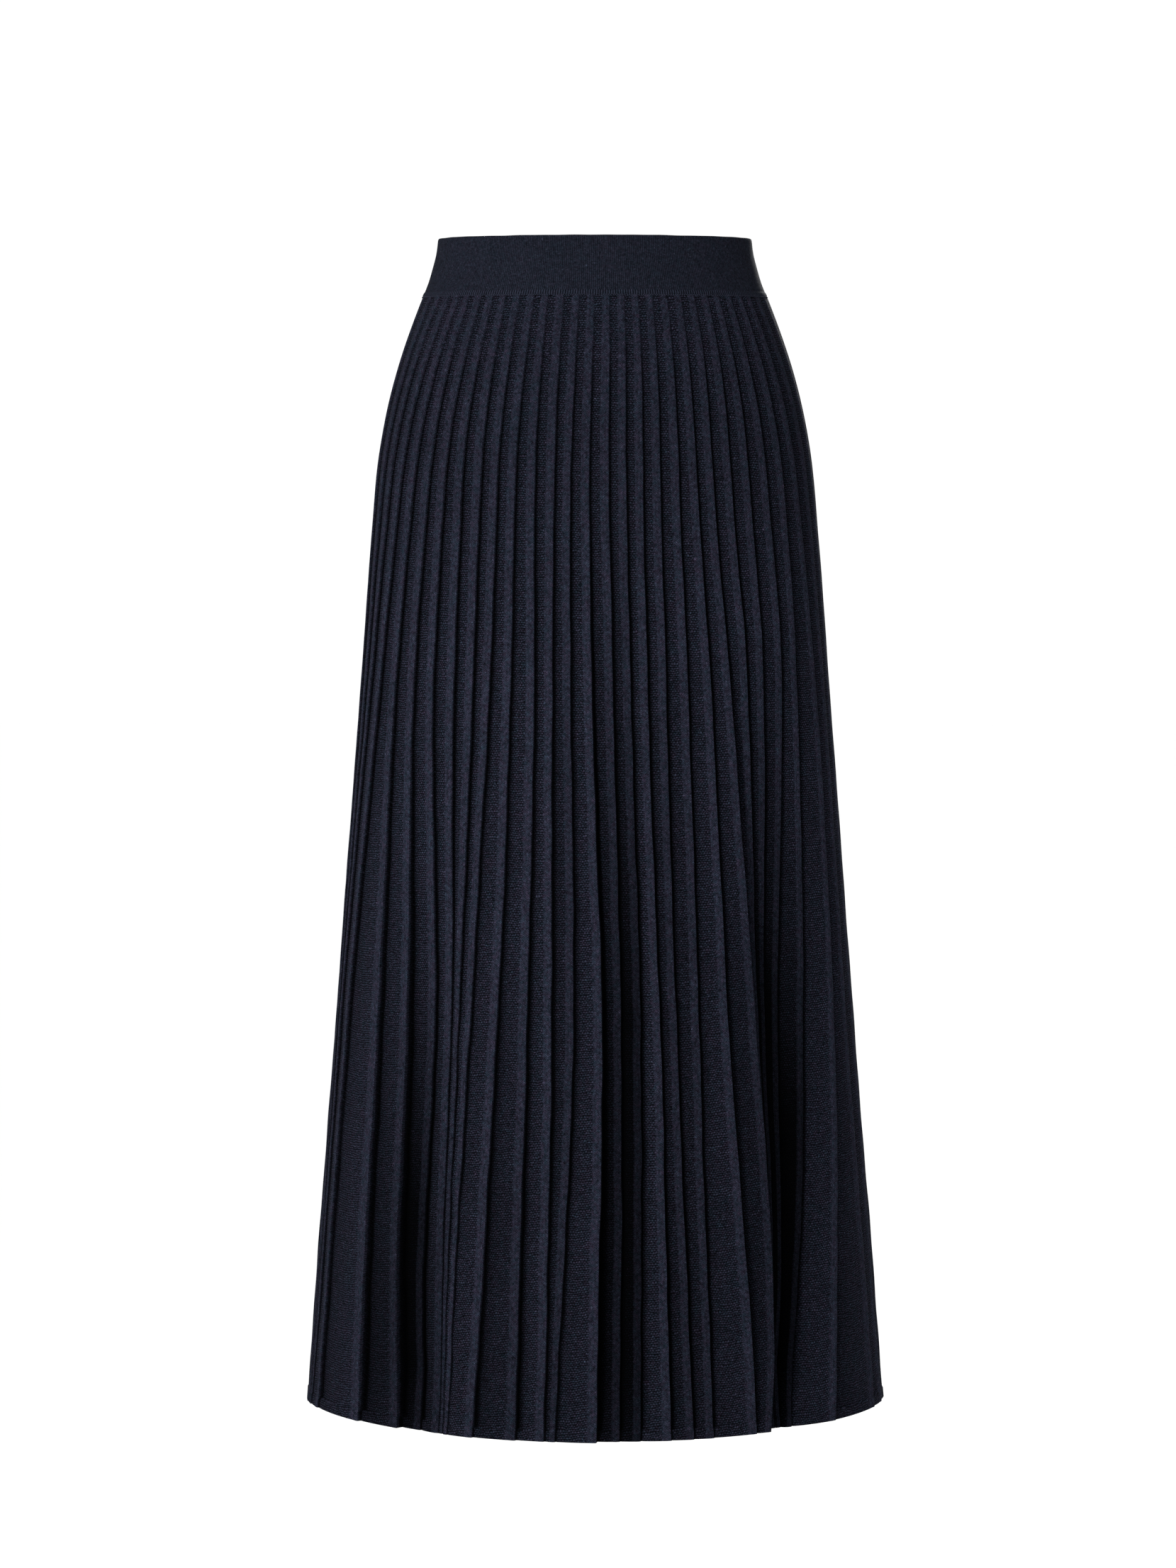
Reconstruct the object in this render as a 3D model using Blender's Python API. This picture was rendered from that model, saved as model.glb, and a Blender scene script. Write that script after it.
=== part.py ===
# Knit a-line skirt, worn form with nobody in it: a waistband and two pleated knit panels.
# Metres, +Z up, the front looks towards -Y. The origin is the middle of the waistband.

import bpy
import numpy as np

MM = 0.001
BAND_HEIGHT = 43 * MM
SKIRT_LENGTH = 862 * MM
TOP_Z = BAND_HEIGHT / 2
BAND_WALL = 3.0 * MM
KNIT_WALL = 2.0 * MM
SEAM_GAP = 0.3 * MM

RIBS_PER_PANEL = 30
BAND_SIDES = 80

# Ribs step up to a raised column of knit and drop behind it.
COLUMN_WIDTH = 5.0 * MM
DROP_WIDTH = 1.2 * MM
COLUMN_SLOPE = 0.12
STEP_AT_WAIST = 1.6 * MM
STEP_AT_HEM = 4.0 * MM
# The most of a rib's width that its step, drop and column may take where folds crowd it.
LARGEST_STEP = 0.22
LARGEST_DROP = 0.25
LARGEST_COLUMN = 0.42
CROWDED_WIDTH = 8.0 * MM
MITRE_LIMIT = 1.5

# The stiffer hem holds the folds flatter over its last stretch.
HEM_EASE = 45 * MM
FOLD_LEFT_AT_HEM = 0.45

# Outer sections in mm, from the top edge down. Roundness 2 is an ellipse.
SECTION_COLUMNS = ("below_top", "half_width", "front_depth", "back_depth", "roundness")
SECTIONS = (
    (0, 115.3, 80, 84, 2.00),
    (11, 116.6, 80, 85, 2.00),
    (22, 119.4, 82, 87, 2.00),
    (33, 122.7, 84, 89, 2.05),
    (43, 126.8, 86, 92, 2.05),
    (62, 134.2, 88, 97, 2.10),
    (85, 142.3, 90, 104, 2.15),
    (115, 150.9, 92, 112, 2.20),
    (155, 158.9, 95, 119, 2.20),
    (215, 164.9, 99, 123, 2.20),
    (310, 172.2, 108, 126, 2.20),
    (430, 181.6, 121, 134, 2.10),
    (560, 191.6, 135, 143, 2.02),
    (690, 202.2, 149, 152, 1.93),
    (790, 210.3, 158, 159, 1.87),
    (817, 212.3, 161, 161, 1.86),
    (862, 215.7, 164, 164, 1.84),
)
PANEL_ROWS = tuple(row[0] * MM for row in SECTIONS[4:])
OUTER_STEPS = 1440

# Depths below the top edge where the rib lines' places are given.
LEVELS = {
    "waist": 50 * MM,
    "hip": 150 * MM,
    "thigh": 320 * MM,
    "knee": 560 * MM,
    "calf": 800 * MM,
    "hem": 862 * MM,
}

# Front ribs from the left side seam to the right one: how far each rib's right-hand line
# has moved from even spacing, in thousandths of the panel's girth, then how far its raised
# column would stand out at the hem in mm, and how far below the top edge that fold begins.
FRONT_COLUMNS = (*LEVELS, "stands_out", "begins")
FRONT_RIBS = (
    (17, 8, 2, -1, 5, 5, 0, 400),
    (29, 14, 2, -21, -22, -22, 0, 400),
    (30, 11, -8, -38, -44, -46, 0, 400),
    (29, 9, -11, -43, -53, -55, 0, 400),
    (25, 7, -5, 2, 4, 9, 0, 400),
    (19, 6, 0, 21, 28, 39, -4, 360),
    (16, 4, 4, 30, 28, 36, -12, 360),
    (12, 3, 7, 26, 28, 32, -7, 360),
    (10, 3, 6, 7, 3, 5, -5, 500),
    (7, 0, 1, -9, -20, -21, -3, 500),
    (6, -2, 2, -2, -15, -19, 0, 400),
    (2, -2, 6, 7, 4, 3, 0, 400),
    (2, -1, 1, 8, 6, 5, -2, 500),
    (2, -6, -3, 5, -10, -15, -2, 500),
    (0, -7, -3, 11, 5, 3, 0, 400),
    (0, -7, -3, 5, 1, -1, -8, 210),
    (-3, -10, -8, -1, -6, -9, -7, 210),
    (-6, -14, -15, -8, -5, -4, -1, 400),
    (-9, -17, -19, -18, -11, -9, -1, 400),
    (-11, -18, -17, -19, -18, -17, 0, 400),
    (-13, -20, -13, -9, 5, 8, 2, 400),
    (-15, -24, -13, 0, 6, -4, 0, 400),
    (-16, -24, -15, -18, -16, -29, -17, 290),
    (-20, -23, -18, -37, -42, -56, -20, 290),
    (-22, -20, -15, -47, -64, -80, -19, 290),
    (-23, -17, -15, -34, -78, -98, -13, 290),
    (-26, -14, -1, -10, -50, -63, -1, 400),
    (-21, -9, 1, -4, 0, 1, 0, 400),
    (-12, -5, 0, 0, 3, 3, 0, 400),
    (0, 0, 0, 0, 0, 0, 0, 400),
)

# Back folds: the rib in the fold's middle, how many ribs it reaches to each side, its
# depth at the hem in mm, how much it gathers its ribs, and where it begins in mm.
BACK_COLUMNS = ("rib", "reach", "fold_depth", "gather", "begins")
BACK_FOLDS = (
    (5.5, 2.6, 13, 0.55, 330),
    (11.5, 2.2, 8, 0.40, 450),
    (16.5, 2.8, 15, 0.60, 260),
    (21.5, 2.0, 7, 0.35, 480),
    (25.5, 2.4, 11, 0.50, 370),
)


def remove_all():
    for thing in list(bpy.data.objects):
        bpy.data.objects.remove(thing, do_unlink=True)


def columns_of(names, rows):
    """A table's columns by name."""
    return dict(zip(names, np.array(rows, float).T))


def wool(name, colour, roughness):
    material = bpy.data.materials.new(name)
    material.use_nodes = True
    shader = material.node_tree.nodes["Principled BSDF"]
    shader.inputs["Base Color"].default_value = (*colour, 1.0)
    shader.inputs["Roughness"].default_value = roughness
    return material


def hermite(knots, values, at):
    """Smooth curve through the knots, flat beyond its ends."""
    knots = np.asarray(knots, float)
    values = np.asarray(values, float)
    slopes = np.gradient(values, knots, axis=0)
    at = float(np.clip(at, knots[0], knots[-1]))
    i = min(int(np.searchsorted(knots, at, side="right")) - 1, len(knots) - 2)
    span = knots[i + 1] - knots[i]
    t = (at - knots[i]) / span
    return (
        (2 * t**3 - 3 * t**2 + 1) * values[i]
        + (t**3 - 2 * t**2 + t) * span * slopes[i]
        + (3 * t**2 - 2 * t**3) * values[i + 1]
        + (t**3 - t**2) * span * slopes[i + 1]
    )


def section(depth):
    """Half width, front depth, back depth and roundness at a depth below the top edge."""
    table = columns_of(SECTION_COLUMNS, SECTIONS)
    below_top = table["below_top"] * MM
    sizes = [np.interp(depth, below_top, table[name]) * MM for name in SECTION_COLUMNS[1:4]]
    return *sizes, np.interp(depth, below_top, table["roundness"])


def half_outline(depth, front):
    """Points, outward normals and girth places of the front or back half at a depth."""
    half_width, front_depth, back_depth, roundness = section(depth)
    side = -1.0 if front else 1.0
    reach = front_depth if front else back_depth
    turn = np.linspace(0.0, np.pi, OUTER_STEPS + 1)
    across = np.cos(turn)
    x = side * half_width * np.sign(across) * np.abs(across) ** (2 / roundness)
    y = side * reach * np.abs(np.sin(turn)) ** (2 / roundness)
    points = np.stack([x, y], axis=1)
    along = np.gradient(points, axis=0)
    along[0] = along[-1] = (0.0, 1.0)
    along[0] *= side
    along[-1] *= -side
    along /= np.linalg.norm(along, axis=1, keepdims=True)
    normals = np.stack([along[:, 1], -along[:, 0]], axis=1)
    lengths = np.linalg.norm(np.diff(points, axis=0), axis=1)
    places = np.concatenate([[0.0], np.cumsum(lengths)])
    return points, normals, places


def growth(depth, begins):
    """How far a fold has opened at a depth, from 0 where it begins; it flattens at the hem."""
    open_share = np.clip((depth - begins) / (SKIRT_LENGTH - begins), 0.0, 1.0)
    eased = np.clip((depth - SKIRT_LENGTH) / HEM_EASE + 1, 0.0, 1.0)
    return open_share ** 0.8 * (1 - (1 - FOLD_LEFT_AT_HEM) * eased)


def front_ribs(depth):
    """Rib lines as shares of the girth, and how far the raised columns stand out."""
    table = columns_of(FRONT_COLUMNS, FRONT_RIBS)
    even = np.arange(1, RIBS_PER_PANEL + 1) / RIBS_PER_PANEL
    moved = hermite(list(LEVELS.values()), [table[name] for name in LEVELS], depth) / 1000
    out = table["stands_out"] * MM * growth(depth, table["begins"] * MM)
    return np.concatenate([[0.0], even + moved]), out


def back_ribs(depth):
    lines = np.arange(RIBS_PER_PANEL + 1, dtype=float)
    columns = np.arange(RIBS_PER_PANEL) + 0.9
    moved = np.zeros_like(lines)
    out = np.zeros_like(columns)
    for row in BACK_FOLDS:
        fold = dict(zip(BACK_COLUMNS, row))
        opened = growth(depth, fold["begins"] * MM)
        away = (lines - fold["rib"]) / fold["reach"]
        moved -= opened * fold["gather"] * fold["reach"] * away * np.exp(-away**2)
        beside = (columns - fold["rib"]) / (0.5 * fold["reach"])
        out -= opened * fold["fold_depth"] * MM * np.exp(-beside**2)
    ends = np.minimum(lines, RIBS_PER_PANEL - lines) / 2
    moved *= np.clip(ends, 0.0, 1.0)
    return (lines + moved) / RIBS_PER_PANEL, out


def pleated_line(depth, front):
    """Outer points of one panel at a depth, from side seam to side seam."""
    points, normals, places = half_outline(depth, front)
    girth = places[-1]
    lines, out = front_ribs(depth) if front else back_ribs(depth)
    widths = np.diff(lines) * girth
    full_step = STEP_AT_WAIST + (STEP_AT_HEM - STEP_AT_WAIST) * depth / SKIRT_LENGTH
    narrower = np.minimum(widths, np.append(widths[1:], widths[-1]))
    room = np.minimum(narrower / CROWDED_WIDTH, 1.0)
    steps = np.minimum(full_step, LARGEST_STEP * narrower * room)
    end_level = -full_step
    where = [0.0]
    level = [end_level]
    for rib in range(RIBS_PER_PANEL):
        line = lines[rib + 1] * girth
        drop = min(DROP_WIDTH, LARGEST_DROP * widths[rib])
        column = min(COLUMN_WIDTH, LARGEST_COLUMN * widths[rib])
        where += [line - drop - column, line - drop, line]
        if rib + 1 < RIBS_PER_PANEL:
            valley = min(out[rib], out[rib + 1]) - steps[rib]
        else:
            valley = end_level
        level += [out[rib] - COLUMN_SLOPE * steps[rib], out[rib], valley]
    where = np.array(where)
    level = np.array(level)
    base = np.stack([np.interp(where, places, points[:, axis]) for axis in (0, 1)], axis=1)
    outward = np.stack([np.interp(where, places, normals[:, axis]) for axis in (0, 1)], axis=1)
    outward /= np.linalg.norm(outward, axis=1, keepdims=True)
    return base + outward * level[:, None]


def inside_of(outer, wall):
    """The outer line moved inwards by the wall, mitred at each bend."""
    along = np.diff(outer, axis=0)
    along /= np.linalg.norm(along, axis=1, keepdims=True)
    across = np.stack([along[:, 1], -along[:, 0]], axis=1)
    before = np.vstack([across[:1], across])
    after = np.vstack([across, across[-1:]])
    mitre = before + after
    mitre /= np.maximum(1 + (before * after).sum(axis=1), 0.2)[:, None]
    size = np.linalg.norm(mitre, axis=1, keepdims=True)
    mitre *= np.minimum(1.0, MITRE_LIMIT / size)
    for end in (0, -1):
        mitre[end] = (np.sign(outer[end, 0]), 0.0)
    return outer - wall * mitre


def panel(name, front, material):
    """One pleated knit panel: outer and inner grids, closed along all four edges."""
    grids = []
    side = -1.0 if front else 1.0
    for depth in PANEL_ROWS:
        outer = pleated_line(depth, front)
        inner = inside_of(outer, KNIT_WALL)
        for line in (outer, inner):
            line[0, 1] = line[-1, 1] = side * SEAM_GAP / 2
        grids.append((outer, inner))
    heights = [TOP_Z - depth for depth in PANEL_ROWS]
    heights[0] -= SEAM_GAP / 2
    count = len(grids[0][0])
    vertices = []
    for (outer, inner), height in zip(grids, heights):
        vertices += [(x, y, height) for x, y in outer]
        vertices += [(x, y, height) for x, y in inner]
    faces = []
    for row in range(len(grids) - 1):
        top = row * 2 * count
        low = top + 2 * count
        for i in range(count - 1):
            faces.append((top + i, low + i, low + i + 1, top + i + 1))
            faces.append((top + count + i, top + count + i + 1, low + count + i + 1, low + count + i))
        faces.append((top, top + count, low + count, low))
        faces.append((top + count - 1, low + count - 1, low + 2 * count - 1, top + 2 * count - 1))
    low = (len(grids) - 1) * 2 * count
    for i in range(count - 1):
        faces.append((i, i + 1, count + i + 1, count + i))
        faces.append((low + i, low + count + i, low + count + i + 1, low + i + 1))
    return add_mesh(name, vertices, faces, material)


def band_ring(depth, inset):
    """Points round the waist at a depth, moved in from the outer section."""
    half_width, front_depth, back_depth, roundness = section(depth)
    ring = []
    for i in range(BAND_SIDES):
        turn = 2 * np.pi * i / BAND_SIDES
        across, forth = np.cos(turn), np.sin(turn)
        reach = back_depth if forth > 0 else front_depth
        x = (half_width - inset) * np.sign(across) * abs(across) ** (2 / roundness)
        y = (reach - inset) * np.sign(forth) * abs(forth) ** (2 / roundness)
        ring.append((x, y, TOP_Z - depth))
    return ring


def waistband(name, material):
    """A folded band: one closed ring with a rounded top edge."""
    fold = 1.0 * MM
    foot = BAND_HEIGHT - SEAM_GAP / 2
    outer = [(depth, 0.0) for depth in (foot, 33 * MM, 22 * MM, 11 * MM, fold)]
    over = [(0.0, BAND_WALL * 0.3), (0.0, BAND_WALL * 0.7)]
    inner = [(depth, BAND_WALL) for depth in (fold, 22 * MM, foot)]
    profile = outer + over + inner
    vertices = []
    for depth, inset in profile:
        vertices += band_ring(depth, inset)
    faces = []
    for row in range(len(profile)):
        this = row * BAND_SIDES
        following = (row + 1) % len(profile) * BAND_SIDES
        for i in range(BAND_SIDES):
            j = (i + 1) % BAND_SIDES
            faces.append((this + i, this + j, following + j, following + i))
    return add_mesh(name, vertices, faces, material)


def add_mesh(name, vertices, faces, material):
    mesh = bpy.data.meshes.new(name)
    mesh.from_pydata(vertices, [], faces)
    mesh.validate()
    mesh.update()
    mesh.materials.append(material)
    mesh.shade_smooth()
    thing = bpy.data.objects.new(name, mesh)
    bpy.context.scene.collection.objects.link(thing)
    return thing


def build_skirt():
    remove_all()
    navy_rib = wool("navy_rib_knit", (0.0116, 0.0122, 0.0222), 0.9)
    navy_jersey = wool("navy_fine_jersey", (0.0131, 0.0137, 0.0238), 0.85)
    waistband("waistband", navy_jersey)
    panel("front_panel", True, navy_rib)
    panel("back_panel", False, navy_rib)


build_skirt()
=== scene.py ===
# Looks of a knit a-line skirt, worn form with nobody in it, on a plain studio floor.
# Metres, +Z up, the front looks towards -Y, the origin is the middle of the waistband.

import math

import bpy
import numpy as np
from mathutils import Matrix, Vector


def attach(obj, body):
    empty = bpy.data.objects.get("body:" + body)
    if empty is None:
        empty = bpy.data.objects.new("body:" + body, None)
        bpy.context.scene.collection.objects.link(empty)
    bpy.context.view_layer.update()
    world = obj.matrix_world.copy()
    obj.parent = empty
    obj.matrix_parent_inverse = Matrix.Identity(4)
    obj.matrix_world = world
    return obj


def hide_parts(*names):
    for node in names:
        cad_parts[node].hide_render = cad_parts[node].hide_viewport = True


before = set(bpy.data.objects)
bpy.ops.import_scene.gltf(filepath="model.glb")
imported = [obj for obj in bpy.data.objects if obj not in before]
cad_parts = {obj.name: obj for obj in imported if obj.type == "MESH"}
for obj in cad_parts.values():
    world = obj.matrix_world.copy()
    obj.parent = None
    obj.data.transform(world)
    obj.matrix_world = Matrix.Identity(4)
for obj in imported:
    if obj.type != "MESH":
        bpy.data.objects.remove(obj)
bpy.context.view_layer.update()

MM = 0.001
BAND_HEIGHT = 43 * MM
SKIRT_LENGTH = 862 * MM
TOP_Z = BAND_HEIGHT / 2
BAND_WALL = 3.0 * MM
KNIT_WALL = 1.9 * MM
RIBS_PER_PANEL = 30

# The panels lap at the side seams, and their top row is tucked into the band.
SEAM_LAP = 0.15 * MM
TUCK = 1.2 * MM

# Ribs step up to a raised column of knit and drop behind it. The largest sizes are shares
# of a rib's width, for the narrow ribs in a fold.
COLUMN_AT_WAIST = 5.8 * MM
COLUMN_AT_HEM = 4.8 * MM
COLUMN_SLOPE = 0.12
COLUMN_BULGE = 0.25 * MM
DROP_WIDTH = 1.2 * MM
STEP_AT_WAIST = 1.6 * MM
STEP_AT_HEM = 4.0 * MM
STEP_UNDER_BAND = 0.35
STEP_RISE = 110 * MM
STEP_ROLL = 0.62
LARGEST_STEP = 0.22
LARGEST_DROP = 0.25
LARGEST_COLUMN = 0.42
CROWDED_WIDTH = 8.0 * MM

# Limits of the mitre where the inner side follows a sharp bend of the outer side.
MITRE_LIMIT = 1.5
SHARPEST_MITRE = 0.2

# How a fold opens down the skirt; the stiffer hem holds it flatter over its last stretch.
FOLD_OPENING = 0.8
HEM_EASE = 45 * MM
FOLD_LEFT_AT_HEM = 0.45

# Outer sections in mm, from the top edge down. Roundness 2 is an ellipse.
SECTION_COLUMNS = ("below_top", "half_width", "front_depth", "back_depth", "roundness")
SECTIONS = (
    (0, 115.3, 80, 84, 2.00),
    (11, 116.6, 80, 85, 2.00),
    (22, 119.4, 82, 87, 2.00),
    (33, 122.7, 84, 89, 2.05),
    (43, 126.8, 86, 92, 2.05),
    (62, 134.2, 88, 97, 2.10),
    (85, 142.3, 90, 104, 2.15),
    (115, 150.9, 92, 112, 2.20),
    (155, 158.9, 95, 119, 2.20),
    (215, 164.9, 99, 123, 2.20),
    (310, 172.2, 108, 126, 2.20),
    (430, 181.6, 121, 134, 2.10),
    (560, 191.6, 135, 143, 2.02),
    (690, 202.2, 149, 152, 1.93),
    (790, 210.3, 158, 159, 1.87),
    (817, 212.3, 161, 161, 1.86),
    (862, 215.7, 164, 164, 1.84),
)
OUTER_STEPS = 720

# Depths below the top edge where the rib lines' places are given.
LEVELS = {
    "waist": 50 * MM,
    "hip": 150 * MM,
    "thigh": 320 * MM,
    "knee": 560 * MM,
    "calf": 800 * MM,
    "hem": 862 * MM,
}

# Front ribs from the left side seam to the right one: how far each rib's right-hand line
# has moved from even spacing, in thousandths of the panel's girth, then how far its raised
# column would stand out at the hem in mm, and how far below the top edge that fold begins.
FRONT_COLUMNS = (*LEVELS, "stands_out", "begins")
FRONT_RIBS = (
    (17, 8, 2, -1, 5, 5, 0, 400),
    (29, 14, 2, -21, -22, -22, 0, 400),
    (30, 11, -8, -38, -44, -46, 0, 400),
    (29, 9, -11, -43, -53, -55, 0, 400),
    (25, 7, -5, 2, 4, 9, 0, 400),
    (19, 6, 0, 21, 28, 39, -4, 360),
    (16, 4, 4, 30, 28, 36, -12, 360),
    (12, 3, 7, 26, 28, 32, -7, 360),
    (10, 3, 6, 7, 3, 5, -5, 500),
    (7, 0, 1, -9, -20, -21, -3, 500),
    (6, -2, 2, -2, -15, -19, 0, 400),
    (2, -2, 6, 7, 4, 3, 0, 400),
    (2, -1, 1, 8, 6, 5, -2, 500),
    (2, -6, -3, 5, -10, -15, -2, 500),
    (0, -7, -3, 11, 5, 3, 0, 400),
    (0, -7, -3, 5, 1, -1, -8, 210),
    (-3, -10, -8, -1, -6, -9, -7, 210),
    (-6, -14, -15, -8, -5, -4, -1, 400),
    (-9, -17, -19, -18, -11, -9, -1, 400),
    (-11, -18, -17, -19, -18, -17, 0, 400),
    (-13, -20, -13, -9, 5, 8, 2, 400),
    (-15, -24, -13, 0, 6, -4, 0, 400),
    (-16, -24, -15, -18, -16, -29, -17, 290),
    (-20, -23, -18, -37, -42, -56, -20, 290),
    (-22, -20, -15, -47, -64, -80, -19, 290),
    (-23, -17, -15, -34, -78, -98, -13, 290),
    (-26, -14, -1, -10, -50, -63, -1, 400),
    (-21, -9, 1, -4, 0, 1, 0, 400),
    (-12, -5, 0, 0, 3, 3, 0, 400),
    (0, 0, 0, 0, 0, 0, 0, 400),
)

# Back folds: the rib in the fold's middle, how many ribs it reaches to each side, its
# depth at the hem in mm, how much it gathers its ribs, and where it begins in mm. Its core
# is the share of that reach that is pushed in, and a column lies near its rib's right line.
BACK_COLUMNS = ("rib", "reach", "fold_depth", "gather", "begins")
BACK_FOLDS = (
    (5.5, 2.6, 13, 0.55, 330),
    (11.5, 2.2, 8, 0.40, 450),
    (16.5, 2.8, 15, 0.60, 260),
    (21.5, 2.0, 7, 0.35, 480),
    (25.5, 2.4, 11, 0.50, 370),
)
COLUMN_PLACE = 0.9
FOLD_CORE = 0.5

# Unevenness of the ribs: how far they wander sideways, and in and out at the hem, in a mix
# of waves of these lengths.
WANDER_SIDEWAYS = 0.8 * MM
WANDER_AT_WAIST = 0.3
WANDER_OUT = 0.7 * MM
WANDER_WAVES = (48 * MM, 90 * MM, 150 * MM, 260 * MM, 430 * MM)
WANDER_SHARES = (0.4, 1.0)
WANDER_SEED = 11

# Painted shade at the foot of each rib's step, where shade falls: how dark it is, its reach in
# steps, a wider and fainter spread in rib widths, its share at the top edge, and the depth over
# which it grows to full.
CREASE_SHADE = 0.88
CREASE_REACH = 0.7
LEAST_STEP = 0.6 * MM
CREASE_SPREAD = 0.34
SPREAD_REACH = 0.5
CREASE_AT_TOP = 0.34
CREASE_RISE = 420 * MM

# Painted shade: the ribs are a little darker below the band.
TOP_SHADE = 0.17
TOP_SHADE_ENDS = 300 * MM
TOP_SHADE_FADES = 150 * MM

# Painted shade in the folds, with less of it at the hem and on the raised columns, and on the inside.
FOLD_SHADE = 0.96
FULL_BACK_FOLD = 12 * MM
LESS_FOLD_SHADE_AT_HEM = 0.15
FOLD_SHADE_ON_COLUMNS = 0.78
INNER_SHADE = 0.5

# Front ribs that lie in a fold, with painted shade: the rib's number from the left, its share of
# painted shade, and how far below the top edge in mm the painted shade begins and is full.
SHADE_COLUMNS = ("rib", "share", "begins", "full")
SHADED_RIBS = (
    (5, 0.55, 500, 780),
    (6, 0.97, 500, 700),
    (7, 0.45, 500, 780),
    (8, 0.30, 480, 740),
    (11, 0.25, 500, 700),
    (13, 0.30, 230, 420),
    (15, 0.85, 200, 620),
    (16, 0.95, 190, 560),
    (18, 0.35, 260, 500),
    (19, 0.30, 300, 520),
    (21, 0.35, 380, 620),
    (22, 0.70, 290, 560),
    (23, 0.97, 290, 560),
    (24, 1.00, 290, 560),
    (25, 1.00, 400, 640),
)

# Points across one rib: shares of the flat part, of the raised column and of the drop. The
# inner side keeps only a few of them.
FLAT_SHARES = (0.0, 0.05, 0.15, 0.35, 0.6, 0.85)
COLUMN_SHARES = (0.0, 0.2, 0.45, 0.7, 0.88, 1.0)
DROP_SHARES = (0.45,)
POINTS_PER_RIB = len(FLAT_SHARES) + len(COLUMN_SHARES) + len(DROP_SHARES)
DROP_POINT = POINTS_PER_RIB - len(DROP_SHARES)
INNER_POINTS = (0, len(FLAT_SHARES), DROP_POINT - 1)
SHARP_EDGE_DEG = 82

# Rows of points down a panel: a few under the band, the middle, and the plain welt, whose
# rows are in mm above the hem.
TOP_ROWS = 4
TOP_ROWS_END = 60 * MM
MIDDLE_ROWS = 120
WELT_ROWS = (8, 6.5, 4, 2, 0.8, 0)
WELT_HEIGHT = 8 * MM
WELT_MARGIN = 2 * MM
WELT_RISE = 1.5 * MM
WELT_STEP = 0.3
WELT_OUT = 0.5 * MM

# The band's outline from its lower outer edge over the top, in mm: depth below the top
# edge and inset from the outer section. The roll at its foot is the linked seam.
LINKED_ROLL = ((43, 0.15), (42.5, -0.25), (41.6, -0.42), (40.4, -0.42), (39.6, -0.15), (39.2, 0.1))
BAND_FACE = (38.2, 36, 32, 28, 24, 20, 16, 12, 8, 5, 3.2)
BAND_FACE_INSET = 0.02
FOLDED_EDGE = ((1.4, 0.08), (0.6, 0.3), (0.15, 0.75), (0, 1.5), (0.2, 2.3), (0.9, 2.8))
BAND_INSIDE = (3, 10, 20, 30, 43)
ROLL_TOP = 39.4 * MM
BAND_STEPS = 300

# The band's slight swell and the ripple of its folded edge, as waves round the waist.
SWELL = 0.35 * MM
SWELL_WAVES = (5, 7, 11, 16, 23)
RIPPLE = 0.2 * MM
RIPPLE_WAVES = (4, 9, 13, 19, 29)
RIPPLE_REACH = 12 * MM
RIPPLE_DROP = 0.3

# Linking stitches between the band and the skirt: small slanted beans of yarn.
LINK_PITCH = 1.7 * MM
LINK_HALF_LENGTH = 0.8 * MM
LINK_RADIUS = 0.36 * MM
LINK_ARCH = 0.1 * MM
LINK_STANDS_OUT = 0.1 * MM
LINK_SLANT_DEG = 24
LINK_RINGS = 5
LINK_SIDES = 6

# Knit gauge of the skirt and of the finer band: width and height of one stitch. The rows
# rise towards the left of each wide rib near the hem, as the rib hangs from its column.
SKIRT_STITCH = (2.0 * MM, 1.65 * MM)
BAND_STITCH = (1.4 * MM, 1.1 * MM)
ROW_RISE = 4 * MM
ROW_RISE_REACH = 20 * MM

# How far the rows stray, in stitches, within a rib and over a few ribs.
STRAY_ROWS = 1.8
SWAY_ROWS = 1.4

# Noises of the yarn: waves to the metre, detail and roughness.
YARN_NOISES = {
    "stray": (260, 2.0, 0.5),
    "sway": (14, 2.0, 0.5),
    "chance": (700, 1.0, 0.5),
    "fuzz": (1900, 3.0, 0.75),
    "mottle": (420, 4.0, 0.8),
    "patch": (22, 3.0, 0.6),
    "speck": (620, 1.0, 0.4),
    "hue_patch": (48, 2.0, 0.6),
    "hue_yarn": (380, 2.0, 0.7),
}
LINK_FUZZ_NOISE = (3000, 2.0, 0.6)
SPECK_LEVEL = 0.735

# Heights of the stitches. A pair is the gain and the base of a wave.
LEG_SLANT = 1.7
LEGS = (0.7, 0.3)
LEG_GROOVE = (0.7, 0.3)
PURL_ARCH = 0.18
PURL_BUMPS = (0.9, 0.28)
WALE_LOOPS = (0.6, 0.4)
WALE_SHARE = 0.5
ROLL_LOOPS = (0.9, 0.05)
UNEVEN_STITCHES = 2.0

# Light and dark of the yarn: the gain and the base of each height, noise or point value. The
# height paints shade into the hollows between stitches, the specks are painted glints, and the
# raised columns get a painted highlight; fuzz and patches are the yarn's own tone.
HEIGHT_SHADE = (2.3, 0.16)
FUZZ_SHADE = (2.4, -0.2)
PATCH_SHADE = (0.3, 0.85)
SPECK_GLINT = (1.0, 1.0)
RAISED_HIGHLIGHT = (0.2, 0.92)
LINK_SHADE = (0.8, 0.9)
RAISED_EDGE = (1.6, -0.3)
HUE_PATCHES = (1.6, -0.3)
HUE_YARNS = (3.0, -1.0)
HUE_YARN_SHARE = 0.65
DARKEST = 0.02

# How strongly light and dark fibres alternate, and the relief of the stitches.
RIB_GRAIN = 3.7
BAND_GRAIN = 2.0
RIB_RELIEF = 0.5 * MM
BAND_RELIEF = 0.35 * MM
FUZZ_RELIEF = 0.45

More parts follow.
